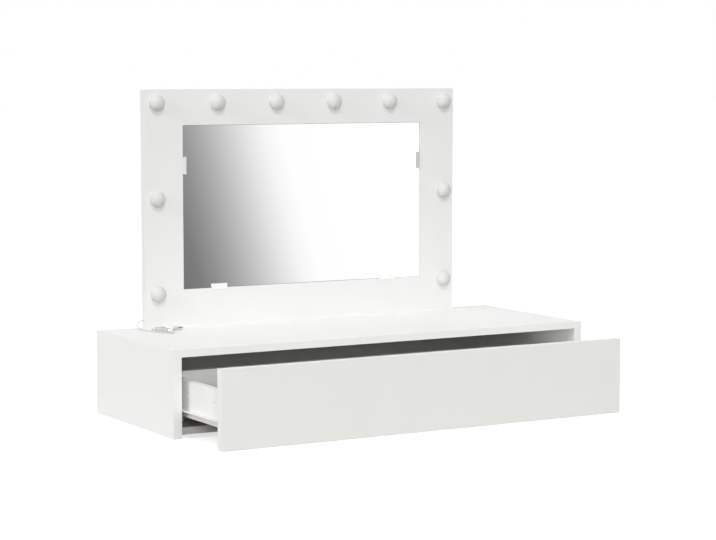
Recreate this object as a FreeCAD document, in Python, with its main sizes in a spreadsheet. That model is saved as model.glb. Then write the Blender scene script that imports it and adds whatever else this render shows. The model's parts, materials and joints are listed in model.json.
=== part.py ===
import FreeCAD, Part
import math
import os
import re
import Sketcher
from FreeCAD import Placement, Rotation, Vector

# A wall-hung dressing table: a low carcass with one wide drawer on roller runners, and a framed
# mirror with globe lamps standing on it. Millimetres. X runs to the right, Y into the wall and Z up.
# The origin is on the wall, in the middle of the underside. The drawer is modelled part way open.

SIZES = {
    # carcass
    "carcass_width": 800, "carcass_depth": 310, "carcass_height": 144,
    "side_board": 15, "top_board": 12, "bottom_board": 12, "bottom_setback": 37,
    "back_board": 3, "groove_depth": 5, "groove_slip": 0.1,
    "rail_board": 15, "rail_height": 60, "rail_dowel_spacing": 30,
    "wall_hole_radius": 3, "wall_hole_spacing": 600,
    # dowels, cams and screws
    "bore_slip": 0.05, "end_slip": 0.4, "joint_inset": 40, "cam_shift": 32,
    "dowel_radius": 3, "dowel_near": 8.5, "dowel_far": 18,
    "cam_radius": 6, "cam_depth": 9, "cam_reach": 24, "bolt_radius": 2.5, "bolt_near": 9,
    "screw_radius": 1.6, "screw_head_radius": 2.8, "screw_head": 1.8, "screw_head_edge": 0.9,
    "short_screw": 12, "long_screw": 30,
    # drawer
    "drawer_open": 138, "front_board": 15, "front_gap": 2.5, "front_top_gap": 3, "front_lift": 1,
    "drawer_board": 12, "drawer_height": 56, "drawer_lift": 36, "drawer_length": 250,
    "drawer_base": 3, "drawer_base_lift": 6, "drawer_cam_lift": 46, "drawer_dowel_lift": 18,
    "rear_screw_low": 23, "rear_screw_high": 46, "base_screw_spacing": 186,
    "mark_radius": 2.5, "mark_depth": 2.5, "mark_lift": 34, "mark_front": 30, "mark_rear": 127,
    # roller runners
    "runner_space": 12.5, "runner_gauge": 1.2, "runner_setback": 2, "runner_length": 250,
    "ride_flange": 8.8, "ride_lift": 7.8, "foot_flange": 10, "foot_lip": 2.5, "lip_cut": 30,
    "channel_foot": 10.5, "channel_head": 9, "channel_room": 5,
    "roller_radius": 7, "roller_width": 3.6, "roller_gap": 0.3, "roller_edge": 0.6,
    "front_roller_inset": 12, "rear_roller_inset": 10,
    "pin_radius": 2, "pin_slip": 0.05, "pin_head_radius": 3.2, "pin_head": 0.8,
    "channel_screw_front": 50, "channel_screw_middle": 125, "channel_screw_rear": 212,
    "foot_screw_front": 50, "foot_screw_rear": 175, "foot_screw_inset": 4,
    # mirror
    "frame_width": 628, "frame_height": 412, "stile_width": 72, "top_rail": 62, "bottom_rail": 64,
    "frame_board": 12, "backing_board": 6, "packing_board": 6, "glass_thickness": 4, "glass_gap": 0.5,
    "frame_dowel_near": 12, "frame_dowel_step": 14, "frame_screw_spacing": 400,
    "backing_screw_inset": 44, "backing_screw_low": 26, "backing_screw_high": 13,
    "clip_length": 30, "clip_lap": 7, "clip_set": 3, "clip_depth": 8, "clip_wall": 1.5, "clip_recess": 0.3,
    "clip_slip": 0.2, "clip_pin_radius": 1.8, "clip_pin_length": 8,
    "side_clip_drop": 55, "low_clip_inset": 55,
    # lamps
    "globe_radius": 14, "globe_offset": 3, "globe_wall": 1.2, "globe_foot_inset": 0.5,
    "spigot_radius": 8.3, "spigot_length": 4,
    "lamp_inset": 22, "lamp_top_inset": 23, "lamp_middle_drop": 189, "lamp_low_drop": 354,
    "socket_radius": 10, "socket_slip": 0.1, "socket_floor": 1.8, "socket_window": 4,
    "led_radius": 6.5, "led_thickness": 1.2,
    "wire_groove": 8, "wire_groove_depth": 6, "wire_bend": 4, "wire_tap_radius": 0.9,
    # lead, switch and plug
    "lead_radius": 1.1, "lead_lift": 13, "grommet_length": 6, "lead_in": 7,
    "switch_length": 30, "switch_width": 11, "switch_height": 7, "switch_edge": 1.6,
    "button_length": 9, "button_width": 5, "button_height": 3.2, "button_edge": 0.5,
    "button_proud": 1.4, "button_gap": 0.3,
    "plug_length": 15, "plug_width": 15, "plug_height": 7, "plug_edge": 1.5,
    "shell_length": 12, "shell_width": 12, "shell_height": 4.5, "shell_wall": 0.4, "plug_tongue": 1.9,
}
TOP_LAMPS = 6
# The share of a lead's shorter run that each half of a bend takes up
BEND_SHARE = 0.45

# Where the lead, the switch and the plug lie: across from the frame's left edge, out from the wall
# and up from the table top. The lead and its tail run between the ends of those pieces.
LEAD_POINTS = [(-7, -9, 13), (-14, -13, 9.6), (-18.3, -21.5, 4.4), (-19.6, -33, 1.1),
               (-18.2, -46.5, 1.1), (-15.6, -60.5, 1.1), (-12.6, -74.5, 1.1), (-9.8, -88, 1.1),
               (-7.2, -99.2, 1.1), (-2.8, -107.6, 1.1), (5, -110, 1.1), (12.8, -104.2, 1.6)]
TAIL_POINTS = [(-2, -44, 1.8), (4.5, -37.5, 1.1), (13.5, -36, 1.1)]
SWITCH_SPOT = (5, -74)
SWITCH_TURN = -70.7
PLUG_SPOT = (28, -47)
PLUG_TURN = -63.4

doc = FreeCAD.newDocument("dressing_table")
sheet = doc.addObject("Spreadsheet::Sheet", "Sizes")
for row, (alias, value) in enumerate(SIZES.items(), start=1):
    sheet.set(f"A{row}", alias)
    sheet.set(f"B{row}", str(value))
    sheet.setAlias(f"B{row}", alias)
doc.recompute()

WORD = re.compile("[a-z_]+")
FACING = {
    "+x": Rotation(Vector(0, 1, 0), 90), "-x": Rotation(Vector(0, 1, 0), -90),
    "+y": Rotation(Vector(1, 0, 0), -90), "-y": Rotation(Vector(1, 0, 0), 90),
    "+z": Rotation(), "-z": Rotation(Vector(1, 0, 0), 180),
}
nodes = []


def formula(text):
    """A formula in size names, written as an expression on the sheet."""

    def tied(match):
        word = match.group()
        return f"Sizes.{word}" if word in SIZES else word

    return WORD.sub(tied, text)


def number(text):
    """The value of a formula in size names, read from the sheet."""

    def filled(match):
        word = match.group()
        return f"({sheet.get(word)})" if word in SIZES else word

    return FreeCAD.Units.Quantity(WORD.sub(filled, text)).Value


def place(item, x, y, z, turn=None):
    """Puts an object at a place given as three formulas."""
    if turn is not None:
        item.Placement = Placement(Vector(), turn)
    for axis, text in zip("xyz", (x, y, z)):
        item.setExpression(f"Placement.Base.{axis}", formula(text))
    return item


def bind(item, **formulas):
    """Ties an object's properties to formulas in size names."""
    for name, text in formulas.items():
        item.setExpression(name, formula(text))
    return item


def box(name, length, width, height, x, y, z):
    """A block from its low corner."""
    item = bind(doc.addObject("Part::Box", name), Length=length, Width=width, Height=height)
    return place(item, x, y, z)


def rod(name, radius, low, high):
    """A round form about its own Z axis, from low to high."""
    item = bind(doc.addObject("Part::Cylinder", name), Radius=radius, Height=f"{high} - ({low})")
    return place(item, "0", "0", low)


def put(form, x, y, z, facing="+z"):
    """A copy of a form, with the form's Z axis along facing."""
    item = doc.addObject("Part::Compound", form.Name + "_copy")
    item.Links = [form]
    return place(item, x, y, z, FACING[facing])


def group(name, items):
    """Separate solids under one name."""
    item = doc.addObject("Part::Compound", name)
    item.Links = items
    return item


def fuse(name, items):
    """One solid from several."""
    item = doc.addObject("Part::MultiFuse", name)
    item.Shapes = items
    return item


def cut(name, base, tools):
    """A solid less its tools."""
    item = doc.addObject("Part::Cut", name)
    item.Base = base
    item.Tool = tools[0] if len(tools) == 1 else fuse(name + "_tools", tools)
    return item


def mirrored(name, source):
    """The right-hand twin of a left-hand piece."""
    item = doc.addObject("Part::Mirroring", name)
    item.Source = source
    item.Normal = Vector(1, 0, 0)
    return item


def node(item, label):
    """Lists an object as a finished sub-part."""
    item.Label = label
    nodes.append(item)
    return item


def outline(name, plane, points):
    """A body with a closed outline through points given as pairs of formulas."""
    body = doc.addObject("PartDesign::Body", name)
    sketch = body.newObject("Sketcher::SketchObject", name + "_outline")
    support = next(feature for feature in body.Origin.OriginFeatures if feature.Role == plane)
    sketch.AttachmentSupport = [(support, "")]
    sketch.MapMode = "FlatFace"
    spots = [Vector(number(x), number(y), 0) for x, y in points]
    for start, end in zip(spots, spots[1:] + spots[:1]):
        sketch.addGeometry(Part.LineSegment(start, end))
    for index in range(len(spots)):
        sketch.addConstraint(Sketcher.Constraint("Coincident", index, 2, (index + 1) % len(spots), 1))
    for index, (pair, spot) in enumerate(zip(points, spots)):
        for kind, text, value in (("DistanceX", pair[0], spot.x), ("DistanceY", pair[1], spot.y)):
            mark = sketch.addConstraint(Sketcher.Constraint(kind, -1, 1, index, 1, value))
            sketch.setExpression(f"Constraints[{mark}]", formula(text))
    return body, sketch


def extrusion(name, plane, points, length):
    """An outline drawn out square to its plane."""
    body, sketch = outline(name, plane, points)
    pad = body.newObject("PartDesign::Pad", name + "_pad")
    pad.Profile = sketch
    bind(pad, Length=length)
    return body


def turned(name, points):
    """An outline of radius and height pairs, turned about its own Z axis."""
    body, sketch = outline(name, "XZ_Plane", points)
    revolution = body.newObject("PartDesign::Revolution", name + "_turn")
    revolution.Profile = sketch
    revolution.ReferenceAxis = (sketch, ["V_Axis"])
    revolution.Angle = 360
    return body


def rounded_block(name, length, width, height, edge):
    """A moulded block with every edge rounded, lying along X with its middle over the origin."""
    half = f"{width} / 2"
    points = [("0", f"-{half}"), (length, f"-{half}"), (length, half), ("0", half)]
    body = extrusion(name, "XY_Plane", points, height)
    doc.recompute()
    pad = body.Tip
    fillet = body.newObject("PartDesign::Fillet", name + "_edges")
    fillet.Base = (pad, ["Edge1"])
    fillet.UseAllEdges = True
    bind(fillet, Radius=edge)
    return body


# Shared formulas

INNER_X = "(carcass_width / 2 - side_board)"
TOP_UNDER = "(carcass_height - top_board)"
BACK_FACE = "(-rail_board - back_board)"
DRAWER_X = "(carcass_width / 2 - side_board - runner_space)"
DRAWER_INNER_X = "(carcass_width / 2 - side_board - runner_space - drawer_board)"
FRONT_FACE = "(-carcass_depth - drawer_open)"
FRONT_BACK = "(-carcass_depth - drawer_open + front_board)"
DRAWER_REAR = "(-carcass_depth - drawer_open + front_board + drawer_length)"
RIDE_Z = "(drawer_lift + ride_lift)"
ROLLER_Z = "(drawer_lift + ride_lift - roller_gap - roller_radius)"
CHANNEL_Z = "(drawer_lift + ride_lift - 2 * roller_gap - 2 * roller_radius - runner_gauge)"
CHANNEL_FRONT = "(-carcass_depth + front_board + runner_setback)"
FRAME_FACE = "(-backing_board - frame_board)"
FRAME_TOP = "(carcass_height + frame_height)"
STILE_X = "(frame_width / 2 - stile_width)"
WIRE_Y = "(-backing_board - wire_groove_depth / 2)"
LAMP_X = "(frame_width / 2 - lamp_inset)"
LAMP_TOP_Z = "(carcass_height + frame_height - lamp_top_inset)"
LEAD_Z = "(carcass_height + lead_lift)"

# Forms of the fasteners, each with its origin at the joint and Z pointing into the far board, or out
# of the head

dowel = rod("dowel_form", "dowel_radius", "-dowel_near", "dowel_far")
dowel_bore = rod("dowel_bore_form", "dowel_radius + bore_slip",
                 "-dowel_near - end_slip", "dowel_far + end_slip")
cam = rod("cam_form", "cam_radius", "-cam_depth", "0")
cam_bore = rod("cam_bore_form", "cam_radius + bore_slip", "-cam_depth - end_slip", "0")
bolt = rod("bolt_form", "bolt_radius", "-bolt_near", "cam_reach - cam_radius - end_slip")
bolt_bore = rod("bolt_bore_form", "bolt_radius + bore_slip", "-bolt_near - end_slip", "cam_reach")


def screw_form(name, length):
    """A pan-head screw, with the underside of its head at the origin."""
    points = [("0", f"-{length}"), ("screw_radius", f"-{length} + screw_radius"), ("screw_radius", "0"),
              ("screw_head_radius", "0"), ("screw_head_radius", "screw_head - screw_head_edge"),
              ("screw_head_radius - screw_head_edge", "screw_head"), ("0", "screw_head")]
    return turned(name, points)


def screw_bore(name, length):
    """The hole for a screw, with the sink for its head above the origin."""
    shank = rod(name + "_shank", "screw_radius + bore_slip", f"-{length} - end_slip", "0")
    sink = rod(name + "_sink", "screw_head_radius + bore_slip", "0", "screw_head + end_slip")
    return fuse(name, [shank, sink])


short_screw = screw_form("short_screw_form", "short_screw")
long_screw = screw_form("long_screw_form", "long_screw")
short_bore = screw_bore("short_bore_form", "short_screw")
long_bore = screw_bore("long_bore_form", "long_screw")

# Carcass: dowels and cam fittings between the sides and the level boards, and dowels at the hanging rail

JOINT_FRONT = "(-carcass_depth + bottom_setback + joint_inset)"
JOINT_REAR = f"({BACK_FACE} - joint_inset)"
TOP_MID = f"({TOP_UNDER} + top_board / 2)"
BOTTOM_MID = "(bottom_board / 2)"
RAIL_MID = f"({TOP_UNDER} - rail_height / 2)"

dowel_spots = []
cam_spots = []
bolt_spots = []
for sign, into in (("-", "+x"), ("", "-x")):
    joint = f"{sign}{INNER_X}"
    for middle, face, outward in ((TOP_MID, TOP_UNDER, "-z"), (BOTTOM_MID, "bottom_board", "+z")):
        for y, shift in ((JOINT_FRONT, "+ cam_shift"), (JOINT_REAR, "- cam_shift")):
            dowel_spots.append((joint, y, middle, into))
            bolt_spots.append((joint, f"{y} {shift}", middle, into))
            cam_spots.append((f"{sign}({INNER_X} - cam_reach)", f"{y} {shift}", face, outward))
    for z in (f"{RAIL_MID} - rail_dowel_spacing / 2", f"{RAIL_MID} + rail_dowel_spacing / 2"):
        dowel_spots.append((joint, "-rail_board / 2", z, into))


def copies(form, spots):
    """A copy of the form at each spot."""
    return [put(form, *spot) for spot in spots]


carcass_bores = copies(dowel_bore, dowel_spots) + copies(bolt_bore, bolt_spots) + copies(cam_bore, cam_spots)
back_slot = box(
    "back_slot", f"2 * ({INNER_X} + groove_depth)", "back_board + 2 * groove_slip",
    f"{TOP_UNDER} - bottom_board + 2 * groove_depth",
    f"-{INNER_X} - groove_depth", f"{BACK_FACE} - groove_slip", "bottom_board - groove_depth")

WALL_HOLES = [(f"{sign}wall_hole_spacing / 2", BACK_FACE, RAIL_MID, "+y") for sign in ("-", "")]
wall_hole = rod("wall_hole_form", "wall_hole_radius", "0", "rail_board + back_board")

FRAME_SCREWS = [(x, f"{FRAME_FACE} + frame_board / 2", f"{TOP_UNDER} + screw_head + end_slip", "-z")
                for x in ("-frame_screw_spacing / 2", "0", "frame_screw_spacing / 2")]

# Cabinet members of the runners: a channel on each side with a roller at its front end

CHANNEL_SCREWS = [(f"-{INNER_X} + runner_gauge", f"{CHANNEL_FRONT} + {reach}", ROLLER_Z, "+x")
                  for reach in ("channel_screw_front", "channel_screw_middle", "channel_screw_rear")]
channel_bores = copies(short_bore, CHANNEL_SCREWS)

side_blank = box("side_blank", "side_board", "carcass_depth", "carcass_height",
                 "-carcass_width / 2", "-carcass_depth", "0")
side_left = node(cut("side_left", side_blank, carcass_bores + [back_slot] + channel_bores), "side_panel_left")
node(mirrored("side_right", side_left), "side_panel_right")

top_blank = box("top_blank", f"2 * {INNER_X}", "carcass_depth", "top_board",
                f"-{INNER_X}", "-carcass_depth", TOP_UNDER)
frame_bores = copies(long_bore, FRAME_SCREWS)
node(cut("top", top_blank, carcass_bores + [back_slot] + frame_bores), "top_panel")

bottom_blank = box("bottom_blank", f"2 * {INNER_X}", "carcass_depth - bottom_setback", "bottom_board",
                   f"-{INNER_X}", "-carcass_depth + bottom_setback", "0")
node(cut("bottom", bottom_blank, carcass_bores + [back_slot]), "bottom_panel")

rail_blank = box("rail_blank", f"2 * {INNER_X}", "rail_board", "rail_height",
                 f"-{INNER_X}", "-rail_board", f"{TOP_UNDER} - rail_height")
wall_holes = copies(wall_hole, WALL_HOLES)
node(cut("rail", rail_blank, carcass_bores + wall_holes), "hanging_rail")

back_blank = box("back_blank", f"2 * ({INNER_X} + groove_depth - groove_slip)", "back_board",
                 f"{TOP_UNDER} - bottom_board + 2 * (groove_depth - groove_slip)",
                 f"-{INNER_X} - groove_depth + groove_slip", BACK_FACE,
                 "bottom_board - groove_depth + groove_slip")
node(cut("back", back_blank, wall_holes), "back_panel")

node(group("dowels", copies(dowel, dowel_spots)), "carcass_dowels")
node(group("cams", copies(cam, cam_spots)), "carcass_cams")
node(group("bolts", copies(bolt, bolt_spots)), "carcass_cam_bolts")

CHANNEL_TOP = f"({RIDE_Z} + runner_gauge + channel_room)"
channel = extrusion("channel", "XZ_Plane", [
    (f"-{INNER_X}", CHANNEL_Z),
    (f"-{INNER_X} + channel_foot", CHANNEL_Z),
    (f"-{INNER_X} + channel_foot", f"{CHANNEL_Z} + runner_gauge"),
    (f"-{INNER_X} + runner_gauge", f"{CHANNEL_Z} + runner_gauge"),
    (f"-{INNER_X} + runner_gauge", CHANNEL_TOP),
    (f"-{INNER_X} + channel_head", CHANNEL_TOP),
    (f"-{INNER_X} + channel_head", f"{CHANNEL_TOP} + runner_gauge"),
    (f"-{INNER_X}", f"{CHANNEL_TOP} + runner_gauge"),
], "runner_length")
place(channel, "0", f"{CHANNEL_FRONT} + runner_length", "0")

PIN_LENGTH = "(roller_width + 2 * roller_gap)"
pin = fuse("pin", [rod("pin_shank", "pin_radius", "-runner_gauge", f"{PIN_LENGTH} + pin_head"),
                   rod("pin_cap", "pin_head_radius", PIN_LENGTH, f"{PIN_LENGTH} + pin_head")])
roller = turned("roller", [
    ("pin_radius + pin_slip", "0"),
    ("roller_radius - roller_edge", "0"),
    ("roller_radius", "roller_edge"),
    ("roller_radius", "roller_width - roller_edge"),
    ("roller_radius - roller_edge", "roller_width"),
    ("pin_radius + pin_slip", "roller_width"),
])

FRONT_ROLLER_Y = f"({CHANNEL_FRONT} + front_roller_inset)"
channel_pin = put(pin, f"-{INNER_X} + runner_gauge", FRONT_ROLLER_Y, ROLLER_Z, "+x")
channel_whole = fuse("channel_whole", [channel, channel_pin])
runner_left = node(cut("runner_left", channel_whole, channel_bores), "cabinet_runner_left")
node(mirrored("runner_right", runner_left), "cabinet_runner_right")
channel_screws = group("channel_screws_left", copies(short_screw, CHANNEL_SCREWS))
node(group("channel_screws", [channel_screws, mirrored("channel_screws_right", channel_screws)]),
     "cabinet_runner_screws")
front_roller = put(roller, f"-{INNER_X} + runner_gauge + roller_gap", FRONT_ROLLER_Y, ROLLER_Z, "+x")
node(front_roller, "cabinet_roller_left")
node(mirrored("front_roller_right", front_roller), "cabinet_roller_right")

# Drawer: an inset front, two sides and a back on a thin base, with a runner under each side

REAR_MID = f"({DRAWER_REAR} - drawer_board / 2)"
CAM_Z = "(drawer_lift + drawer_cam_lift)"
BASE_Z = "(drawer_lift + drawer_base_lift)"
SIDE_MID = f"(-{DRAWER_X} + drawer_board / 2)"
REAR_SCREWS = [(f"-{DRAWER_X}", REAR_MID, f"drawer_lift + {lift}", "-x")
               for lift in ("rear_screw_low", "rear_screw_high")]
FOOT_SCREW_X = f"(-{DRAWER_X} + foot_screw_inset)"
FOOT_SCREWS = [(FOOT_SCREW_X, f"{FRONT_BACK} + {reach}", "drawer_lift - runner_gauge", "-z")
               for reach in ("foot_screw_front", "foot_screw_rear")]
BASE_SCREWS = [(x, REAR_MID, BASE_Z, "-z") for x in ("-base_screw_spacing", "0", "base_screw_spacing")]
MARKS = [(f"-{DRAWER_X}", f"{FRONT_BACK} + {reach}", "drawer_lift + mark_lift", "-x")
         for reach in ("mark_front", "mark_rear")]

drawer_bolts = [(SIDE_MID, FRONT_BACK, CAM_Z, "+y"), (f"-{SIDE_MID}", FRONT_BACK, CAM_Z, "+y")]
drawer_dowels = [(SIDE_MID, FRONT_BACK, "drawer_lift + drawer_dowel_lift", "+y"),
                 (f"-{SIDE_MID}", FRONT_BACK, "drawer_lift + drawer_dowel_lift", "+y")]
drawer_cams = [(f"-{DRAWER_INNER_X}", f"{FRONT_BACK} + cam_reach", CAM_Z, "+x"),
               (DRAWER_INNER_X, f"{FRONT_BACK} + cam_reach", CAM_Z, "-x")]
front_bores = copies(bolt_bore, drawer_bolts) + copies(dowel_bore, drawer_dowels)
base_slot = box("base_slot", f"2 * ({DRAWER_INNER_X} + groove_depth)", "drawer_length + groove_depth",
                "drawer_base + 2 * groove_slip",
                f"-{DRAWER_INNER_X} - groove_depth", f"{FRONT_BACK} - groove_depth",
                f"{BASE_Z} - groove_slip")

front_blank = box("front_blank", f"2 * ({INNER_X} - front_gap)", "front_board",
                  f"{TOP_UNDER} - front_top_gap - front_lift",
                  f"-{INNER_X} + front_gap", FRONT_FACE, "front_lift")
node(cut("front", front_blank, front_bores + [base_slot]), "drawer_front")

mark = rod("mark_form", "mark_radius", "-mark_depth", "0")
drawer_side_blank = box("drawer_side_blank", "drawer_board", "drawer_length", "drawer_height",
                        f"-{DRAWER_X}", FRONT_BACK, "drawer_lift")
foot_bores = copies(short_bore, FOOT_SCREWS)
side_bores = front_bores + copies(cam_bore, drawer_cams) + copies(mark, MARKS) + foot_bores
rear_bores = copies(long_bore, REAR_SCREWS)
drawer_side = cut("drawer_side", drawer_side_blank, side_bores + rear_bores + [base_slot])
node(drawer_side, "drawer_side_left")
node(mirrored("drawer_side_twin", drawer_side), "drawer_side_right")

drawer_back_blank = box("drawer_back_blank", f"2 * {DRAWER_INNER_X}", "drawer_board",
                        "drawer_height - drawer_base_lift - drawer_base",
                        f"-{DRAWER_INNER_X}", f"{DRAWER_REAR} - drawer_board", f"{BASE_Z} + drawer_base")
base_bores = copies(short_bore, BASE_SCREWS)
rear_bores_left = group("rear_bores_left", rear_bores)
rear_bores_right = mirrored("rear_bores_right", rear_bores_left)
drawer_back_bores = [rear_bores_left, rear_bores_right] + base_bores
node(cut("drawer_back_cut", drawer_back_blank, drawer_back_bores), "drawer_back")

base_blank = box("base_blank", f"2 * ({DRAWER_INNER_X} + groove_depth - groove_slip)",
                 "drawer_length + groove_depth - groove_slip", "drawer_base",
                 f"-{DRAWER_INNER_X} - groove_depth + groove_slip",
                 f"{FRONT_BACK} - groove_depth + groove_slip", BASE_Z)
node(cut("base", base_blank, base_bores), "drawer_bottom")

RIDE_X = f"(-{DRAWER_X} - runner_gauge)"
foot = extrusion("foot", "XZ_Plane", [
    (f"-{DRAWER_X} + foot_flange", "drawer_lift"),
    (f"-{DRAWER_X}", "drawer_lift"),
    (f"-{DRAWER_X}", f"{RIDE_Z} + runner_gauge"),
    (f"{RIDE_X} - ride_flange", f"{RIDE_Z} + runner_gauge"),
    (f"{RIDE_X} - ride_flange", RIDE_Z),
    (RIDE_X, RIDE_Z),
    (RIDE_X, "drawer_lift"),
    (f"{RIDE_X} - foot_lip", "drawer_lift"),
    (f"{RIDE_X} - foot_lip", "drawer_lift - runner_gauge"),
    (f"-{DRAWER_X} + foot_flange", "drawer_lift - runner_gauge"),
], "drawer_length - runner_setback")
place(foot, "0", DRAWER_REAR, "0")
REAR_ROLLER_Y = f"({DRAWER_REAR} - rear_roller_inset)"
lip_cut = box("lip_cut_block", "foot_lip", "lip_cut", "runner_gauge",
              f"{RIDE_X} - foot_lip", f"{DRAWER_REAR} - lip_cut", "drawer_lift - runner_gauge")
foot_trimmed = cut("foot_trimmed", foot, [lip_cut] + foot_bores)
foot_pin = put(pin, RIDE_X, REAR_ROLLER_Y, ROLLER_Z, "-x")
foot_whole = node(fuse("foot_whole", [foot_trimmed, foot_pin]), "drawer_runner_left")
node(mirrored("foot_twin", foot_whole), "drawer_runner_right")
rear_roller = put(roller, f"{RIDE_X} - roller_gap", REAR_ROLLER_Y, ROLLER_Z, "-x")
node(rear_roller, "drawer_roller_left")
node(mirrored("rear_roller_right", rear_roller), "drawer_roller_right")

node(group("drawer_cam_group", copies(cam, drawer_cams)), "drawer_cams")
node(group("drawer_bolt_group", copies(bolt, drawer_bolts)), "drawer_cam_bolts")
node(group("drawer_dowel_group", copies(dowel, drawer_dowels)), "drawer_dowels")
left_screws = group("drawer_screws_left", copies(long_screw, REAR_SCREWS) + copies(short_screw, FOOT_SCREWS))
right_screws = mirrored("drawer_screws_right", left_screws)
base_screws = copies(short_screw, BASE_SCREWS)
node(group("drawer_screw_group", [left_screws, right_screws] + base_screws), "drawer_screws")

# Mirror: two stiles and two rails on a backing board, with the wire run in grooves behind the lamps.
# The glass lies on a packing board, near the frame's face, under four clips

OPEN_LOW = "(carcass_height + bottom_rail)"
OPEN_HIGH = "(carcass_height + frame_height - top_rail)"
LAMP_STEP = f"(2 * {LAMP_X} / {TOP_LAMPS - 1})"
lamp_spots = [(f"-{LAMP_X} + {LAMP_STEP} * {index}", FRAME_FACE, LAMP_TOP_Z, "-y")
              for index in range(TOP_LAMPS)]
for drop in ("lamp_middle_drop", "lamp_low_drop"):
    lamp_spots += [(f"{sign}{LAMP_X}", FRAME_FACE, f"{FRAME_TOP} - {drop}", "-y") for sign in ("-", "")]

lamp_hole = rod("lamp_hole_form", "socket_radius", "-frame_board + wire_groove_depth", "0")
lamp_holes = copies(lamp_hole, lamp_spots)
HALF_GROOVE = "wire_groove / 2"
LOW_WIRE_Z = f"({FRAME_TOP} - lamp_low_drop)"


def wire_slot(name, low_x, high_x, low_z, high_z):
    """A groove in the backs of the frame boards, between two places on the wire's line."""
    return box(name, f"{high_x} - ({low_x}) + wire_groove", "wire_groove_depth",
               f"{high_z} - ({low_z}) + wire_groove",
               f"{low_x} - {HALF_GROOVE}", "-backing_board - wire_groove_depth", f"{low_z} - {HALF_GROOVE}")


wire_slots = [
    wire_slot("wire_slot_exit", "-frame_width / 2", f"-{LAMP_X}", LEAD_Z, LEAD_Z),
    wire_slot("wire_slot_left", f"-{LAMP_X}", f"-{LAMP_X}", LEAD_Z, LAMP_TOP_Z),
    wire_slot("wire_slot_top", f"-{LAMP_X}", LAMP_X, LAMP_TOP_Z, LAMP_TOP_Z),
    wire_slot("wire_slot_right", LAMP_X, LAMP_X, LOW_WIRE_Z, LAMP_TOP_Z),
]

frame_dowels = []
for sign, into in (("-", "+x"), ("", "-x")):
    for edge, direction in ((OPEN_HIGH, "+"), (OPEN_LOW, "-")):
        for reach in ("frame_dowel_near", "frame_dowel_near + frame_dowel_step"):
            frame_dowels.append((f"{sign}{STILE_X}", f"{FRAME_FACE} + frame_board / 2",
                                 f"{edge} {direction} ({reach})", into))

BACKING_X = "(frame_width / 2 - backing_screw_inset)"
BACKING_LOW = "carcass_height + backing_screw_low"
BACKING_MID = f"({OPEN_LOW} + {OPEN_HIGH}) / 2"
BACKING_HIGH = f"{OPEN_HIGH} + backing_screw_high"
backing_screws = [(x, "-screw_head - end_slip", z, "+y")
                  for x in (f"-{BACKING_X}", BACKING_X)
                  for z in (BACKING_LOW, BACKING_MID, BACKING_HIGH)]
backing_screws += [("0", "-screw_head - end_slip", z, "+y") for z in (BACKING_LOW, BACKING_HIGH)]
backing_bores = copies(short_bore, backing_screws)

# A clip lies over the glass, with its leg in a notch of the opening's edge and a pin into the board
clip_strip = extrusion("clip_strip", "XY_Plane", [
    ("-clip_set", "clip_recess"), ("clip_lap", "clip_recess"), ("clip_lap", "clip_recess + clip_wall"),
    ("0", "clip_recess + clip_wall"), ("0", "clip_depth"), ("-clip_set", "clip_depth"),
], "clip_length")
CLIP_PIN = ("-clip_set", "(clip_recess + clip_depth) / 2", "clip_length / 2", "+x")
clip_spigot = rod("clip_spigot", "clip_pin_radius", "-clip_pin_length", "clip_wall")
clip_spigot_bore = rod("clip_spigot_bore", "clip_pin_radius + bore_slip", "-clip_pin_length - end_slip", "0")
clip = fuse("clip", [clip_strip, put(clip_spigot, *CLIP_PIN)])
clip_notch = box("clip_notch", "clip_set + clip_slip + glass_gap", "clip_depth + 2 * clip_slip",
                 "clip_length + 2 * clip_slip", "-clip_set - clip_slip", "-clip_slip", "-clip_slip")
clip_bore = fuse("clip_bore", [clip_notch, put(clip_spigot_bore, *CLIP_PIN)])
CLIP_Z = f"{OPEN_HIGH} - side_clip_drop"
LOW_CLIP_X = f"({STILE_X} - low_clip_inset)"
CLIPS = {
    "mirror_clip_left": (f"-{STILE_X}", f"{CLIP_Z} - clip_length", 0),
    "mirror_clip_right": (STILE_X, CLIP_Z, 180),
    "mirror_clip_bottom_left": (f"-{LOW_CLIP_X} + clip_length", OPEN_LOW, -90),
    "mirror_clip_bottom_right": (LOW_CLIP_X, OPEN_LOW, -90),
}
clip_bores = []
for label, (x, z, turn) in CLIPS.items():
    spin = Rotation(Vector(0, 1, 0), turn)
    seated = group(label + "_seat", [clip])
    node(place(seated, x, FRAME_FACE, z, spin), label)
    bore = group(label + "_bore", [clip_bore])
    clip_bores.append(place(bore, x, FRAME_FACE, z, spin))

frame_dowel_bores = copies(dowel_bore, frame_dowels)
frame_tools = frame_dowel_bores + lamp_holes + wire_slots + backing_bores + clip_bores + frame_bores
FRAME_BOARDS = {
    "mirror_stile_left": ("stile_width", "frame_height", "-frame_width / 2", "carcass_height"),
    "mirror_stile_right": ("stile_width", "frame_height", STILE_X, "carcass_height"),
    "mirror_rail_top": (f"2 * {STILE_X}", "top_rail", f"-{STILE_X}", OPEN_HIGH),
    "mirror_rail_bottom": (f"2 * {STILE_X}", "bottom_rail", f"-{STILE_X}", "carcass_height"),
}
frame_cutter = fuse("frame_cutter", frame_tools)
for label, (length, height, x, z) in FRAME_BOARDS.items():
    blank = box(label + "_blank", length, "frame_board", height, x, FRAME_FACE, z)
    node(cut(label + "_cut", blank, [frame_cutter]), label)

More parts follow.
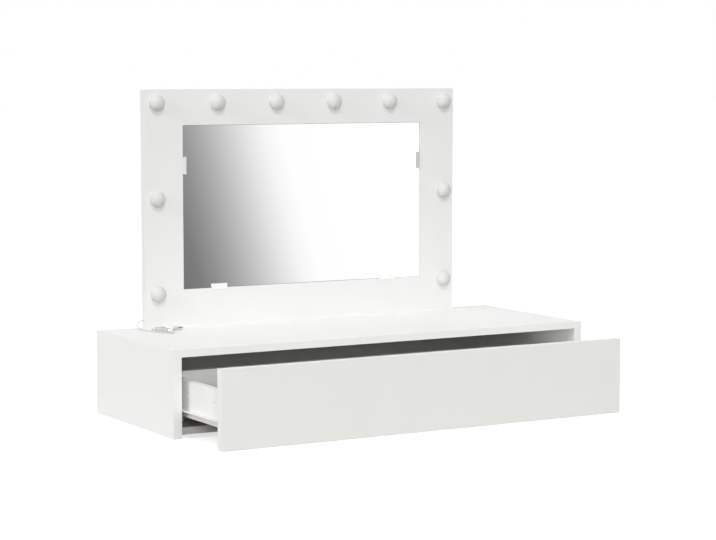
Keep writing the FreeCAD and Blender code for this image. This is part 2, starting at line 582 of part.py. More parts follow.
backing_blank = box("backing_blank", "frame_width", "backing_board", "frame_height",
                    "-frame_width / 2", "-backing_board", "carcass_height")
node(cut("backing", backing_blank, backing_bores), "mirror_backing")
PANE_WIDTH = f"2 * ({STILE_X} - glass_gap)"
PANE_HEIGHT = f"{OPEN_HIGH} - {OPEN_LOW} - 2 * glass_gap"
PACKING_FACE = "-backing_board - packing_board"
for label, thickness, y in (("mirror_packing", "packing_board", PACKING_FACE),
                            ("mirror_glass", "glass_thickness", f"{PACKING_FACE} - glass_thickness")):
    node(box(label + "_pane", PANE_WIDTH, thickness, PANE_HEIGHT,
             f"-{STILE_X} + glass_gap", y, f"{OPEN_LOW} + glass_gap"), label)
node(group("frame_dowel_group", copies(dowel, frame_dowels)), "mirror_dowels")
node(group("frame_screw_group", copies(long_screw, FRAME_SCREWS)), "mirror_fixing_screws")
node(group("backing_screw_group", copies(short_screw, backing_screws)), "backing_screws")

# Lamps: an opal globe on a spigot, a socket in the frame and a light board on the socket's floor

globe_outer = bind(doc.addObject("Part::Sphere", "globe_outer"),
                   Radius="globe_radius", Angle1="-asin(globe_offset / globe_radius)")
globe_inner = bind(doc.addObject("Part::Sphere", "globe_inner"),
                   Radius="globe_radius - globe_wall",
                   Angle1="-asin(globe_offset / (globe_radius - globe_wall))")
for ball in (globe_outer, globe_inner):
    place(ball, "0", "0", "globe_offset")
GLOBE_FOOT = "(sqrt(globe_radius ^ 2 - globe_offset ^ 2) - globe_foot_inset)"
globe_foot = fuse("globe_foot", [rod("globe_plate", GLOBE_FOOT, "0", "globe_wall"),
                                 rod("globe_spigot", "spigot_radius", "-spigot_length", "globe_wall")])
globe_bore = rod("globe_bore", "spigot_radius - globe_wall", "-spigot_length", "globe_wall")
globe = fuse("globe", [cut("globe_shell", globe_outer, [globe_inner]),
                       cut("globe_ring", globe_foot, [globe_bore])])
for index, spot in enumerate(lamp_spots, start=1):
    node(put(globe, *spot), f"lamp_globe_{index:02d}")

SOCKET_DEPTH = "(frame_board - wire_groove_depth)"
socket = turned("socket", [
    ("spigot_radius + socket_slip", "0"),
    ("socket_radius - socket_slip", "0"),
    ("socket_radius - socket_slip", f"-{SOCKET_DEPTH}"),
    ("socket_window", f"-{SOCKET_DEPTH}"),
    ("socket_window", f"-{SOCKET_DEPTH} + socket_floor"),
    ("spigot_radius + socket_slip", f"-{SOCKET_DEPTH} + socket_floor"),
])
node(group("sockets", copies(socket, lamp_spots)), "lamp_sockets")
led = rod("led_form", "led_radius",
          f"-{SOCKET_DEPTH} + socket_floor", f"-{SOCKET_DEPTH} + socket_floor + led_thickness")
node(group("leds", copies(led, lamp_spots)), "lamp_light_boards")

# Wire and lead: tubes on straight runs joined by tangent arcs


def tube(name, points, radius, bend=None):
    """A round lead along points. Each arc is as large as its two runs allow, unless a bend is given."""
    edges = []
    radii = []
    start = points[0]
    for before, corner, after in zip(points, points[1:], points[2:]):
        back = before - corner
        ahead = after - corner
        half_turn = (math.pi - back.getAngle(ahead)) / 2
        widest = BEND_SHARE * min(back.Length, ahead.Length)
        reach = widest if bend is None else bend * math.tan(half_turn)
        arc_radius = reach / math.tan(half_turn)
        first = corner + back.normalize() * reach
        last = corner + ahead.normalize() * reach
        inward = (back + ahead).normalize()
        middle = corner + inward * (arc_radius / math.cos(half_turn) - arc_radius)
        edges += [Part.LineSegment(start, first).toShape(), Part.Arc(first, middle, last).toShape()]
        radii.append(arc_radius)
        start = last
    edges.append(Part.LineSegment(start, points[-1]).toShape())
    path = Part.Wire(edges)
    section = Part.Wire(Part.makeCircle(radius, points[0], points[1] - points[0]))
    shape = path.makePipeShell([section], True, False)
    item = doc.addObject("Part::Feature", name)
    item.Shape = shape
    ratio = shape.Volume / (math.pi * radius ** 2 * path.Length)
    print(name, "length", round(path.Length, 1), "volume ratio", round(ratio, 4),
          "radii", [round(value, 1) for value in radii])
    return item


lead_radius = number("lead_radius")
wire_points = [Vector(number(x), number(WIRE_Y), number(z)) for x, z in (
    ("-frame_width / 2", LEAD_Z), (f"-{LAMP_X}", LEAD_Z), (f"-{LAMP_X}", LAMP_TOP_Z),
    (LAMP_X, LAMP_TOP_Z), (LAMP_X, LOW_WIRE_Z))]
wire = tube("wire", wire_points, lead_radius, number("wire_bend"))
tap = rod("tap_form", "wire_tap_radius", f"{FRAME_FACE} - {WIRE_Y}", f"-{SOCKET_DEPTH} + socket_floor")
node(fuse("harness", [wire] + copies(tap, lamp_spots)), "lamp_harness")

grommet_blank = box("grommet_blank", "grommet_length", "wire_groove_depth", "wire_groove",
                    "-frame_width / 2", "-backing_board - wire_groove_depth", f"{LEAD_Z} - {HALF_GROOVE}")
grommet_bore = rod("grommet_bore", "lead_radius + bore_slip", "0", "grommet_length")
grommet_hole = put(grommet_bore, "-frame_width / 2", WIRE_Y, LEAD_Z, "+x")
node(cut("grommet", grommet_blank, [grommet_hole]), "lead_grommet")


def on_table(across, out, up):
    """A place on the table top, counted from the frame's left edge, the wall and the top."""
    return Vector(across - number("frame_width / 2"), out, up + number("carcass_height"))


def settle(item, spot, turn):
    """Lays a piece of the lead on the table top below a spot, turned about its own upright axis."""
    below = Vector(spot.x, spot.y, number("carcass_height"))
    item.Placement = Placement(below, Rotation(Vector(0, 0, 1), turn))
    return item


def heading(turn):
    """The level direction of a turned piece."""
    return Vector(math.cos(math.radians(turn)), math.sin(math.radians(turn)), 0)


switch_way = heading(SWITCH_TURN)
switch_middle = on_table(*SWITCH_SPOT, number("switch_height / 2"))
switch_rear = switch_middle - switch_way * number("switch_length / 2")
switch_front = switch_middle + switch_way * number("switch_length / 2")
plug_entry = on_table(*PLUG_SPOT, number("plug_height / 2"))
lead_in = number("lead_in")
lead_points = [wire_points[0]] + [on_table(*point) for point in LEAD_POINTS]
lead_points += [switch_front + switch_way * lead_in, switch_front]
node(tube("lead", lead_points, lead_radius), "usb_lead")
tail_points = [switch_rear, switch_rear - switch_way * lead_in]
tail_points += [on_table(*point) for point in TAIL_POINTS]
tail_points += [plug_entry - heading(PLUG_TURN) * lead_in, plug_entry]
node(tube("tail", tail_points, lead_radius), "usb_tail")

case_block = rounded_block("case_block", "switch_length", "switch_width", "switch_height", "switch_edge")
BUTTON_LOW = "(switch_height + button_proud - button_height)"
pocket = box("button_pocket", "button_length + 2 * button_gap", "button_width + 2 * button_gap",
             "switch_height",
             "(switch_length - button_length) / 2 - button_gap", "-button_width / 2 - button_gap",
             f"{BUTTON_LOW} - button_proud")
case = group("case", [cut("case_cut", case_block, [pocket])])
node(settle(case, switch_rear, SWITCH_TURN), "switch_case")
button_block = rounded_block("button_block", "button_length", "button_width", "button_height", "button_edge")
button_seat = put(button_block, "(switch_length - button_length) / 2", "0", BUTTON_LOW)
node(settle(group("button", [button_seat]), switch_rear, SWITCH_TURN), "switch_button")

plug_block = rounded_block("plug_block", "plug_length", "plug_width", "plug_height", "plug_edge")
node(settle(group("plug", [plug_block]), plug_entry, PLUG_TURN), "usb_plug_body")
SHELL_LOW = "(plug_height - shell_height) / 2"
shell_blank = box("shell_blank", "shell_length", "shell_width", "shell_height",
                  "plug_length", "-shell_width / 2", SHELL_LOW)
shell_mouth = box("shell_mouth", "shell_length", "shell_width - 2 * shell_wall",
                  "shell_height - 2 * shell_wall - plug_tongue",
                  "plug_length + shell_wall", "-shell_width / 2 + shell_wall",
                  f"{SHELL_LOW} + shell_wall + plug_tongue")
shell = group("shell", [cut("shell_cut", shell_blank, [shell_mouth])])
node(settle(shell, plug_entry, PLUG_TURN), "usb_plug_shell")

# Build, test and write

doc.recompute()
for item in doc.Objects:
    if "Invalid" in item.State or "Error" in item.State:
        raise RuntimeError(f"{item.Label} failed: {item.State}")
for item in nodes:
    if item.Shape.isNull() or not item.Shape.isValid() or not item.Shape.Solids:
        raise RuntimeError(f"{item.Label} has no valid solid")

os.makedirs("parts", exist_ok=True)
for item in nodes:
    solids = item.Shape.Solids
    shape = solids[0] if len(solids) == 1 else Part.makeCompound(solids)
    shape.exportStep(f"parts/{item.Label}.step")
    print(item.Label, len(solids), round(shape.Volume))
print(len(nodes), "sub-parts")
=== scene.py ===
import json
import math
import bmesh
import bpy
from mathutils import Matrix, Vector


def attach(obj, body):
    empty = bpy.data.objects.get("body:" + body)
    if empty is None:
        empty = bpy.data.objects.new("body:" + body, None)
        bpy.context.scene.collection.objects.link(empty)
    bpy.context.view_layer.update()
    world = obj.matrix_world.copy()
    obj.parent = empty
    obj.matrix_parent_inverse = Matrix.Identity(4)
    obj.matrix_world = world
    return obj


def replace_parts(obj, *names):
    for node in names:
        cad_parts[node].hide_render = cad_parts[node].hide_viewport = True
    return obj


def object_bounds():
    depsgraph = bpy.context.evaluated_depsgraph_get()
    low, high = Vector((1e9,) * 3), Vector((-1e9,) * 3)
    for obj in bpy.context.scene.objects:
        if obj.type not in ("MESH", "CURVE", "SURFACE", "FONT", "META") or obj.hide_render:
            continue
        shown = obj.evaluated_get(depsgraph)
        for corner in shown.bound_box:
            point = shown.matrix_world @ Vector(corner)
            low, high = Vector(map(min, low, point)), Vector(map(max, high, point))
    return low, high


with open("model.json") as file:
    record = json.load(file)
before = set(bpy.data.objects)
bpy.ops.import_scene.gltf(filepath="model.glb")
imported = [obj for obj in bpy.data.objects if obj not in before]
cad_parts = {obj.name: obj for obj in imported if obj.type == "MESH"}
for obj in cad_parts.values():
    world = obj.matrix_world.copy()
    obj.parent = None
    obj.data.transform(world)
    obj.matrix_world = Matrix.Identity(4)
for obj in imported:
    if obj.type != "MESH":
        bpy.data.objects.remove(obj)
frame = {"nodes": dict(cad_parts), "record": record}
cad_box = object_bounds()
nodes = frame["nodes"]
scene = bpy.context.scene
scene.view_settings.view_transform = "Standard"

# Camera: where the photograph was taken from, with no shift

CAMERA_PLACE = (-1.80815, -3.32681, 0.58227)
CAMERA_PITCH = 5.3279
CAMERA_YAW = 30.0946
CAMERA_LENS = 105.617
CAMERA_SENSOR = 36

camera_data = bpy.data.cameras.new("camera")
camera_data.sensor_width = CAMERA_SENSOR
camera_data.lens = CAMERA_LENS
camera = bpy.data.objects.new("camera", camera_data)
camera.location = CAMERA_PLACE
camera.rotation_euler = (math.radians(90 - CAMERA_PITCH), 0, -math.radians(CAMERA_YAW))
scene.collection.objects.link(camera)
scene.camera = camera


# Node trees


class Nodes:
    """A node tree, with short ways to add to it."""

    def __init__(self, tree):
        self.tree = tree

    def feed(self, socket, value):
        """Links a socket to an output, or sets it to a number or a colour."""
        if isinstance(value, bpy.types.NodeSocket):
            self.tree.links.new(value, socket)
        elif isinstance(value, tuple):
            socket.default_value = (*value, 1)
        else:
            socket.default_value = value

    def add(self, kind, *values, **settings):
        """Adds a node with its settings, and feeds its inputs in their order."""
        node = self.tree.nodes.new(kind)
        for name, value in settings.items():
            setattr(node, name, value)
        for socket, value in zip(node.inputs, values):
            self.feed(socket, value)
        return node

    def math(self, operation, *values):
        return self.add("ShaderNodeMath", *values, operation=operation).outputs["Value"]

    def span(self, value, low, high, from_low=0.0, from_high=1.0):
        """Maps one range of a value to another, and holds it there."""
        return self.add("ShaderNodeMapRange", value, from_low, from_high, low, high).outputs["Result"]

    def blend(self, factor, first, second):
        """Mixes two colours."""
        node = self.add("ShaderNodeMix", data_type="RGBA")
        for socket, value in ((0, factor), (6, first), (7, second)):
            self.feed(node.inputs[socket], value)
        return node.outputs[2]

    def parts(self, vector):
        """The X, Y and Z of a vector."""
        return self.add("ShaderNodeSeparateXYZ", vector).outputs

    def seen(self):
        """One for what the camera sees, itself or in metal and glass, and nought for light on the object."""
        rays = self.add("ShaderNodeLightPath").outputs
        mirrored = self.math("MAXIMUM", rays["Is Camera Ray"], rays["Is Glossy Ray"])
        return self.math("MAXIMUM", mirrored, rays["Is Transmission Ray"])


def tinted(color, share):
    """A colour made lighter or darker by a share."""
    return tuple(min(1.0, part * (1 + share)) for part in color)


def grey(level):
    return (level, level, level)


# Materials

# The middle of a noise's range, where most of its values lie
NOISE_LOW, NOISE_HIGH = 0.3, 0.7


class Shader(Nodes):
    """A material with one Principled surface, whose patterns stay fixed to the piece."""

    def __init__(self, name, color, roughness, **sockets):
        self.material = bpy.data.materials.new(name)
        self.material.use_nodes = True
        super().__init__(self.material.node_tree)
        self.color = color
        self.inputs = self.tree.nodes["Principled BSDF"].inputs
        self.inputs["Base Color"].default_value = (*color, 1)
        self.inputs["Roughness"].default_value = roughness
        for socket, value in sockets.items():
            self.inputs[socket.replace("_", " ")].default_value = value
        coordinates = self.add("ShaderNodeTexCoord").outputs
        self.place = coordinates["Object"]
        self.facing = coordinates["Normal"]

    def noise(self, scale, detail=2.0, stretch=None):
        place = self.place
        if stretch is not None:
            mapping = self.add("ShaderNodeMapping", place)
            mapping.inputs["Scale"].default_value = stretch
            place = mapping.outputs["Vector"]
        node = self.add("ShaderNodeTexNoise", place)
        node.inputs["Scale"].default_value = scale
        node.inputs["Detail"].default_value = detail
        return node.outputs["Fac"]

    def tones(self, noise, first, second):
        """A colour that wanders between two tones."""
        return self.blend(self.span(noise, 0, 1, NOISE_LOW, NOISE_HIGH), first, second)

    def colour(self, source):
        self.feed(self.inputs["Base Color"], source)

    def mottle(self, noise, darker, lighter):
        self.colour(self.tones(noise, tinted(self.color, -darker), tinted(self.color, lighter)))

    def rough(self, noise, low, high):
        self.feed(self.inputs["Roughness"], self.span(noise, low, high, NOISE_LOW, NOISE_HIGH))

    def bump(self, height, strength, distance):
        node = self.add("ShaderNodeBump", strength, distance)
        self.feed(node.inputs["Height"], height)
        self.feed(self.inputs["Normal"], node.outputs["Normal"])


def melamine(name, color):
    """Paper-faced board: a fine pressed grain, a faint cloudiness and a satin coat."""
    shader = Shader(name, color, roughness=0.42)
    shader.mottle(shader.noise(scale=9), darker=0.012, lighter=0.008)
    shader.rough(shader.noise(scale=420), low=0.36, high=0.5)
    shader.bump(shader.noise(scale=1100, detail=3), strength=0.1, distance=0.0003)
    return shader.material


# A face of a thin board is raw where it turns this far to the rear or downwards
RAW_FACING = 0.7


def hardboard(name, color, raw):
    """Thin board, white on its face side and raw fibre on the other."""
    shader = Shader(name, color, roughness=0.5)
    fibre = shader.noise(scale=340, detail=6, stretch=(1, 1, 0.35))
    face = shader.tones(fibre, tinted(color, -0.015), tinted(color, 0.01))
    back = shader.tones(fibre, tinted(raw, -0.22), tinted(raw, 0.18))
    facing = shader.parts(shader.facing)
    rear = shader.math("GREATER_THAN", facing["Y"], RAW_FACING)
    under = shader.math("LESS_THAN", facing["Z"], -RAW_FACING)
    shader.colour(shader.blend(shader.math("MAXIMUM", rear, under), face, back))
    shader.rough(fibre, low=0.45, high=0.62)
    shader.bump(fibre, strength=0.12, distance=0.0003)
    return shader.material


def plastic(name, color, roughness, grain=900, **sockets):
    """Moulded plastic with a fine spark finish."""
    shader = Shader(name, color, roughness, **sockets)
    shader.mottle(shader.noise(scale=60), darker=0.02, lighter=0.015)
    shader.rough(shader.noise(scale=grain), low=roughness - 0.06, high=roughness + 0.08)
    shader.bump(shader.noise(scale=grain * 2), strength=0.06, distance=0.0002)
    return shader.material


def metal(name, color, roughness, stretch):
    """Plated metal with fine drawing marks."""
    shader = Shader(name, color, roughness, Metallic=1.0)
    marks = shader.noise(scale=900, detail=4, stretch=stretch)
    shader.mottle(marks, darker=0.08, lighter=0.06)
    shader.rough(marks, low=roughness - 0.08, high=roughness + 0.1)
    shader.bump(marks, strength=0.1, distance=0.0001)
    return shader.material


def coated_steel(name, color):
    """Sheet steel under a white powder coat with a light orange peel."""
    shader = Shader(name, color, roughness=0.36, Coat_Weight=0.15, Coat_Roughness=0.2)
    shader.mottle(shader.noise(scale=40), darker=0.02, lighter=0.01)
    shader.rough(shader.noise(scale=700), low=0.3, high=0.46)
    shader.bump(shader.noise(scale=800, detail=3), strength=0.12, distance=0.0003)
    return shader.material


def silvered(name, color):
    """Float glass, silvered on its back, with a faint polish haze."""
    shader = Shader(name, color, roughness=0.012, Metallic=1.0)
    shader.rough(shader.noise(scale=14, detail=4), low=0.004, high=0.02)
    return shader.material


def beech(name, color, dark, light):
    """Raw turned wood with a long grain and short dark flecks."""
    shader = Shader(name, color, roughness=0.6)
    grain = shader.noise(scale=500, detail=5, stretch=(0.12, 1, 1))
    shader.colour(shader.tones(grain, dark, light))
    shader.rough(grain, low=0.5, high=0.7)
    shader.bump(grain, strength=0.2, distance=0.0003)
    return shader.material


# Half the width of the mirror's opening, and how sharply a clip's painted shade begins there
OPENING_EDGE = 0.242
EDGE_BLUR = 0.0003


def clip_with_painted_shade(name, foot, lip):
    """Nylon clip at the side of the opening: its thin lip over the glass is painted greyer than its foot, as
    painted shade.
    """
    shader = Shader(name, foot, roughness=0.42)
    across = shader.math("ABSOLUTE", shader.parts(shader.place)["X"])
    foot_share = shader.span(across, 0, 1, OPENING_EDGE - EDGE_BLUR, OPENING_EDGE + EDGE_BLUR)
    shader.colour(shader.blend(foot_share, lip, foot))
    shader.rough(shader.noise(scale=900), low=0.36, high=0.5)
    shader.bump(shader.noise(scale=1800), strength=0.06, distance=0.0002)
    return shader.material


EVEN = (1, 1, 1)


def cloudy(name, color, roughness, depth):
    """Plastic that lets a little light in, to a depth."""
    return plastic(name, color, roughness,
                   Subsurface_Weight=0.1, Subsurface_Radius=EVEN, Subsurface_Scale=depth)


WHITE = (0.87, 0.872, 0.855)
RAW_BOARD = (0.36, 0.24, 0.14)
MATERIALS = {
    "white_board": melamine("white_melamine", WHITE),
    "front_board": melamine("front_melamine", (0.838, 0.846, 0.812)),
    "thin_board": hardboard("faced_hardboard", (0.84, 0.84, 0.83), RAW_BOARD),
    "beech": beech("beech", (0.62, 0.45, 0.28), (0.5, 0.34, 0.19), (0.68, 0.5, 0.32)),
    "zinc": metal("zinc_plate", (0.62, 0.63, 0.65), 0.34, EVEN),
    "white_steel": coated_steel("coated_steel", (0.74, 0.74, 0.74)),
    "white_nylon": cloudy("white_nylon", (0.86, 0.86, 0.85), 0.42, 0.002),
    "silvered_glass": silvered("silvered_glass", (0.993, 0.995, 0.993)),
    "opal": cloudy("opal", (0.645, 0.645, 0.635), 0.34, 0.003),
    "light_board": plastic("light_board", (0.85, 0.82, 0.55), 0.5),
    # The lead's jacket is a mid grey as painted shade, so the white lead's shaded line shows on the table
    "lead_jacket": plastic("lead_jacket", (0.6, 0.6, 0.595), 0.45, grain=1400),
    "switch_shell": plastic("switch_shell", (0.5, 0.5, 0.5), 0.32),
    "plug_steel": metal("plug_steel", (0.92, 0.92, 0.93), 0.42, (1, 1, 12)),
}

# Pieces that read differently from the rest of their slot: the frame's boards are a little greyer than the
# carcass's;
# the side clips are painted greyer where they lie on the glass (painted shade), and the bottom clips lighter
# (painted light)
FRAME_WHITE = (0.808, 0.809, 0.797)
frame_board = melamine("frame_melamine", FRAME_WHITE)
# A lighter copy of the white nylon, as painted light on the bottom clips
painted_light_nylon = plastic("painted_light_nylon", (0.9, 0.9, 0.89), 0.4)
white_moulding = plastic("white_moulding", (0.82, 0.82, 0.81), 0.4)
LOOKS = {
    "mirror_stile_left": frame_board,
    "mirror_stile_right": frame_board,
    "mirror_rail_top": frame_board,
    "mirror_rail_bottom": frame_board,
    # The side clips' lips over the glass: grey painted shade, darker on the right clip
    "mirror_clip_left": clip_with_painted_shade("left_clip_painted_shade", FRAME_WHITE, (0.76, 0.76, 0.755)),
    "mirror_clip_right": clip_with_painted_shade("right_clip_painted_shade", FRAME_WHITE, (0.56, 0.56, 0.56)),
    # The bottom clips: lighter nylon, painted light
    "mirror_clip_bottom_left": painted_light_nylon,
    "mirror_clip_bottom_right": painted_light_nylon,
    "lead_grommet": plastic("grommet", (0.8, 0.8, 0.79), 0.42),
    "usb_plug_body": white_moulding,
    # The back panel's face is a darker grey that paints the shade inside the carcass
    "back_panel": hardboard("painted_shade_hardboard", (0.57, 0.575, 0.54), RAW_BOARD),
}

for entry in frame["record"]["subparts"]:
    item = nodes[entry["node"]]
    item.data.materials.clear()
    item.data.materials.append(LOOKS.get(entry["node"], MATERIALS[entry["material_slot"]]))

# Lead: the same route as the solid's, counted from the frame's left edge, the wall and the table top

TABLE_CORNER = Vector((-0.314, 0, 0.144))
LEAD_EXIT = Vector((-0.314, -0.009, 0.157))
LEAD_DIAMETER = 0.0022
LEAD_IN = 0.007
LEAD_ROUTE = [(-0.007, -0.009, 0.013), (-0.014, -0.013, 0.0096), (-0.0183, -0.0215, 0.0044),
              (-0.0196, -0.033, 0.0011), (-0.0182, -0.0465, 0.0011), (-0.0156, -0.0605, 0.0011),
              (-0.0126, -0.0745, 0.0011), (-0.0098, -0.088, 0.0011), (-0.0072, -0.0992, 0.0011),
              (-0.0028, -0.1076, 0.0011), (0.005, -0.11, 0.0011), (0.0128, -0.1042, 0.0016)]
TAIL_ROUTE = [(-0.002, -0.044, 0.0018), (0.0045, -0.0375, 0.0011), (0.0135, -0.036, 0.0011)]
SWITCH_MIDDLE = (0.005, -0.074, 0.0035)
SWITCH_TURN = -70.7
SWITCH_LENGTH = 0.03
PLUG_ENTRY = (0.028, -0.047, 0.0035)
PLUG_TURN = -63.4
# Steps of the lead's tube round a quarter of it and along each stretch, and the smoothness of its spline
LEAD_ROUND_STEPS = 6
LEAD_LONG_STEPS = 16
LEAD_ORDER = 3


def heading(turn):
    """The level direction of a turned piece."""
    return Vector((math.cos(math.radians(turn)), math.sin(math.radians(turn)), 0))


def on_table(point):
    """A place given from the frame's left edge, the wall and the table top."""
    return TABLE_CORNER + Vector(point)


def on_carcass(name, data, material):
    """A piece of the lead, which stays with the carcass."""
    data.materials.append(material)
    item = bpy.data.objects.new(name, data)
    scene.collection.objects.link(item)
    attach(item, "carcass")
    return item


def lead_curve(name, points):
    """A round lead on one smooth spline."""
    data = bpy.data.curves.new(name, "CURVE")
    data.dimensions = "3D"
    data.bevel_depth = LEAD_DIAMETER / 2
    data.bevel_resolution = LEAD_ROUND_STEPS
    data.resolution_u = LEAD_LONG_STEPS
    data.use_fill_caps = True
    spline = data.splines.new("NURBS")
    spline.points.add(len(points) - 1)
    for target, point in zip(spline.points, points):
        target.co = (*point, 1)
    spline.order_u = LEAD_ORDER
    spline.use_endpoint_u = True
    return on_carcass(name, data, MATERIALS["lead_jacket"])


SLEEVE_LENGTH = 0.006
SLEEVE_WIDE = 0.0026
SLEEVE_NARROW = 0.0016
SLEEVE_RIBS = 4
SLEEVE_GROOVE = 0.0003
SLEEVE_SIDES = 24
# Each rib of a sleeve: how far along it a ring lies, and the share of the groove's depth there
RIB_RINGS = ((0.0, 0), (0.55, 0), (0.7, 1), (0.85, 1))


def sleeve(name, start, way):
    """A ribbed, tapered strain relief on the lead, where it leaves a housing."""
    rings = [((rib + along) / SLEEVE_RIBS, depth) for rib in range(SLEEVE_RIBS) for along, depth in RIB_RINGS]
    turn = way.to_track_quat("Z", "Y")
    build = bmesh.new()
    loops = []
    for along, depth in rings + [(1.0, 0)]:
        radius = SLEEVE_WIDE + (SLEEVE_NARROW - SLEEVE_WIDE) * along - SLEEVE_GROOVE * depth
        loop = []
        for side in range(SLEEVE_SIDES):
            angle = math.tau * side / SLEEVE_SIDES
            place = Vector((radius * math.cos(angle), radius * math.sin(angle), SLEEVE_LENGTH * along))
            loop.append(build.verts.new(start + turn @ place))
        loops.append(loop)
    for near, far in zip(loops, loops[1:]):
        for side in range(SLEEVE_SIDES):
            following = (side + 1) % SLEEVE_SIDES
            build.faces.new((near[side], near[following], far[following], far[side])).smooth = True
    build.faces.new(reversed(loops[0]))
    build.faces.new(loops[-1])
    mesh = bpy.data.meshes.new(name)
    build.to_mesh(mesh)
    build.free()
    return on_carcass(name, mesh, white_moulding)


switch_way = heading(SWITCH_TURN)
switch_rear = on_table(SWITCH_MIDDLE) - switch_way * SWITCH_LENGTH / 2
switch_front = on_table(SWITCH_MIDDLE) + switch_way * SWITCH_LENGTH / 2
plug_entry = on_table(PLUG_ENTRY)
lead_points = [LEAD_EXIT] + [on_table(point) for point in LEAD_ROUTE]
lead_points += [switch_front + switch_way * LEAD_IN, switch_front]
tail_points = [switch_rear, switch_rear - switch_way * LEAD_IN] + [on_table(point) for point in TAIL_ROUTE]
tail_points += [plug_entry - heading(PLUG_TURN) * LEAD_IN, plug_entry]
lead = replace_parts(lead_curve("lead", lead_points), "usb_lead")
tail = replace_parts(lead_curve("lead_tail", tail_points), "usb_tail")
lead_sleeve = sleeve("lead_sleeve", switch_front, switch_way)
tail_sleeve = sleeve("tail_sleeve", switch_rear, -switch_way)
plug_sleeve = sleeve("plug_sleeve", plug_entry, -heading(PLUG_TURN))

# Eased edges on the boards and the mirror clips

BOARD_EDGE = 0.0005
CLIP_EDGE = 0.0003
EDGE_STEPS = 2
EDGE_ANGLE = 60
WELD_REACH = 0.00001

for entry in frame["record"]["subparts"]:
    is_board = entry["material_slot"] in ("white_board", "front_board")
    if is_board or entry["node"].startswith("mirror_clip"):
        item = nodes[entry["node"]]
        weld = item.modifiers.new("weld", "WELD")
        weld.merge_threshold = WELD_REACH
        bevel = item.modifiers.new("eased_edges", "BEVEL")
        bevel.width = BOARD_EDGE if is_board else CLIP_EDGE
        bevel.segments = EDGE_STEPS
        bevel.limit_method = "ANGLE"
        bevel.angle_limit = math.radians(EDGE_ANGLE)
        bevel.harden_normals = True

# Stage: a white floor that keeps the shadow, soft light all round, and a dark screen that the mirror sees


def sheet(name, corners, faces, material):
    """A flat or bent sheet of the stage."""
    data = bpy.data.meshes.new(name)
    data.from_pydata(corners, [], faces)
    data.materials.append(material)
    item = bpy.data.objects.new(name, data)
    scene.collection.objects.link(item)
    return item


def stage_material(name):
    """A material with no nodes yet, and its tree."""
    material = bpy.data.materials.new(name)
    material.use_nodes = True
    material.node_tree.nodes.clear()
    return material, Nodes(material.node_tree)


# The floor's tone where it is seen, what is added to it there, and the tone that lights the object from below
FLOOR_SEEN = 0.9
FLOOR_LIFT = 0.6
FLOOR_BOUNCE = 0.33
FLOOR_REACH = 30
FLOOR_LEVEL = cad_box[0].z
FLOOR_TURNS = ((-1, -1), (1, -1), (1, 1), (-1, 1))

floor_material, tree = stage_material("floor")
seen = tree.seen()
diffuse = tree.add("ShaderNodeBsdfDiffuse", tree.blend(seen, grey(FLOOR_BOUNCE), grey(FLOOR_SEEN)))
lift = tree.add("ShaderNodeEmission", grey(1.0), tree.math("MULTIPLY", seen, FLOOR_LIFT))
both = tree.add("ShaderNodeAddShader", diffuse.outputs["BSDF"], lift.outputs["Emission"])
tree.add("ShaderNodeOutputMaterial", both.outputs["Shader"])
floor_corners = [(FLOOR_REACH * x, FLOOR_REACH * y, FLOOR_LEVEL) for x, y in FLOOR_TURNS]
sheet("floor", floor_corners, [(0, 1, 2, 3)], floor_material)

# The sky lights the object at one strength, and is white where it is seen
SKY_LIGHT = 0.49
SKY_SEEN = 1.0

world = bpy.data.worlds.new("studio")
scene.world = world
world.use_nodes = True
tree = Nodes(world.node_tree)
sky = world.node_tree.nodes["Background"]
sky.inputs["Color"].default_value = (1, 1, 1, 1)
tree.feed(sky.inputs["Strength"], tree.span(tree.seen(), SKY_LIGHT, SKY_SEEN))

# Large soft discs on a dome about the object: turn from the front and rise in degrees, diameter and power
LAMP_AIM = Vector((0, -0.2, 0.25))
LAMP_REACH = 14.0
LAMPS = {
    "key": (-16, 44.4, 2.4, 540),
    "top": (0, 82, 5.2, 136),
    "front": (-25, 12, 4.0, 566),
    "left": (-85, 25, 4.4, 722),
}

for name, (turn, rise, size, power) in LAMPS.items():
    data = bpy.data.lights.new(name, "AREA")
    data.shape = "DISK"
    data.size = size
    data.energy = power
    climb = math.radians(rise)
    away = heading(turn - 90) * math.cos(climb) + Vector((0, 0, math.sin(climb)))
    item = bpy.data.objects.new(name, data)
    item.location = LAMP_AIM + LAMP_REACH * away
    item.rotation_euler = (-away).to_track_quat("-Z", "Y").to_euler()
    item.visible_glossy = False
    scene.collection.objects.link(item)

# The mirror sees a dark, soft-edged screen that stands before it to the right. Its foot lies on the floor and
# fades towards the mirror, and its head fades upwards

SCREEN_LEFT, SCREEN_RIGHT = -0.1, 1.4
SCREEN_PLACE = -1.6
SCREEN_FOOT_END = -0.65
SCREEN_FOOT_LEVEL = 0.002
SCREEN_TOP = 0.9
SCREEN_SOLID_TO = 0.6
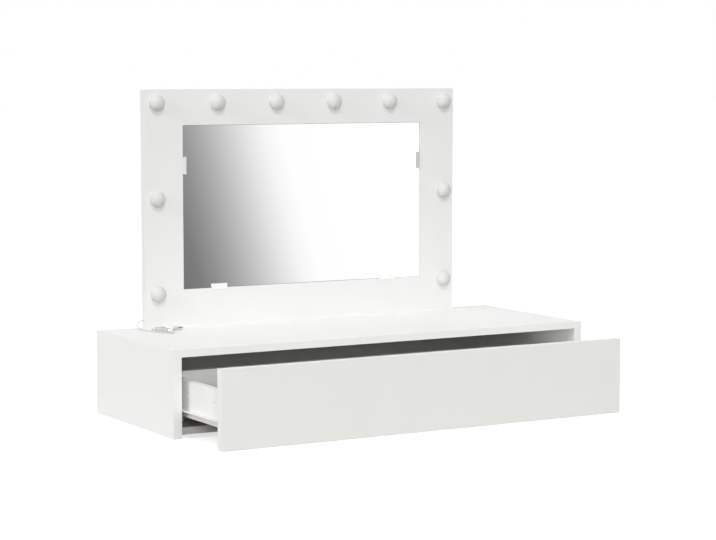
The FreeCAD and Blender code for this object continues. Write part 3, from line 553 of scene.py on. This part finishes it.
# Its tones run along X, leaning with the height: distance in metres, level and cover
SCREEN_LEAN = 0.3
SCREEN_SPAN = 1.25
SCREEN_STOPS = ((0.05, 0.135, 0), (0.44, 0.135, 1), (0.57, 0.207, 1), (0.62, 0.283, 1), (0.67, 0.381, 1),
                (0.72, 0.504, 1), (0.77, 0.643, 1), (0.82, 0.789, 1), (0.87, 0.917, 1), (0.923, 0.995, 1),
                (1.0, 1.0, 1), (1.2, 1.0, 0))

screen_material, tree = stage_material("screen")
spot = tree.parts(tree.add("ShaderNodeNewGeometry").outputs["Position"])
along = tree.math("MULTIPLY_ADD", spot["Z"], SCREEN_LEAN, spot["X"])
ramp = tree.add("ShaderNodeValToRGB", tree.math("DIVIDE", along, SCREEN_SPAN))
stops = ramp.color_ramp.elements
while len(stops) < len(SCREEN_STOPS):
    stops.new(1.0)
for stop, (distance, level, cover) in zip(stops, SCREEN_STOPS):
    stop.position = distance / SCREEN_SPAN
    stop.color = (*grey(level), cover)
foot_fade = tree.span(spot["Y"], 0, 1, SCREEN_FOOT_END, SCREEN_PLACE)
head_fade = tree.span(spot["Z"], 0, 1, SCREEN_TOP, SCREEN_SOLID_TO)
density = tree.math("MULTIPLY", ramp.outputs["Alpha"], tree.math("MULTIPLY", foot_fade, head_fade))
clear = tree.add("ShaderNodeBsdfTransparent")
glow = tree.add("ShaderNodeEmission", ramp.outputs["Color"], 1.0)
mixed = tree.add("ShaderNodeMixShader", density, clear.outputs["BSDF"], glow.outputs["Emission"])
tree.add("ShaderNodeOutputMaterial", mixed.outputs["Shader"])

screen_rows = ((SCREEN_FOOT_END, SCREEN_FOOT_LEVEL), (SCREEN_PLACE, SCREEN_FOOT_LEVEL),
               (SCREEN_PLACE, SCREEN_TOP))
screen_corners = [(x, y, z) for y, z in screen_rows for x in (SCREEN_LEFT, SCREEN_RIGHT)]
screen = sheet("screen", screen_corners, [(0, 1, 3, 2), (2, 3, 5, 4)], screen_material)
screen.visible_camera = False
screen.visible_diffuse = False
screen.visible_shadow = False
screen.visible_transmission = False
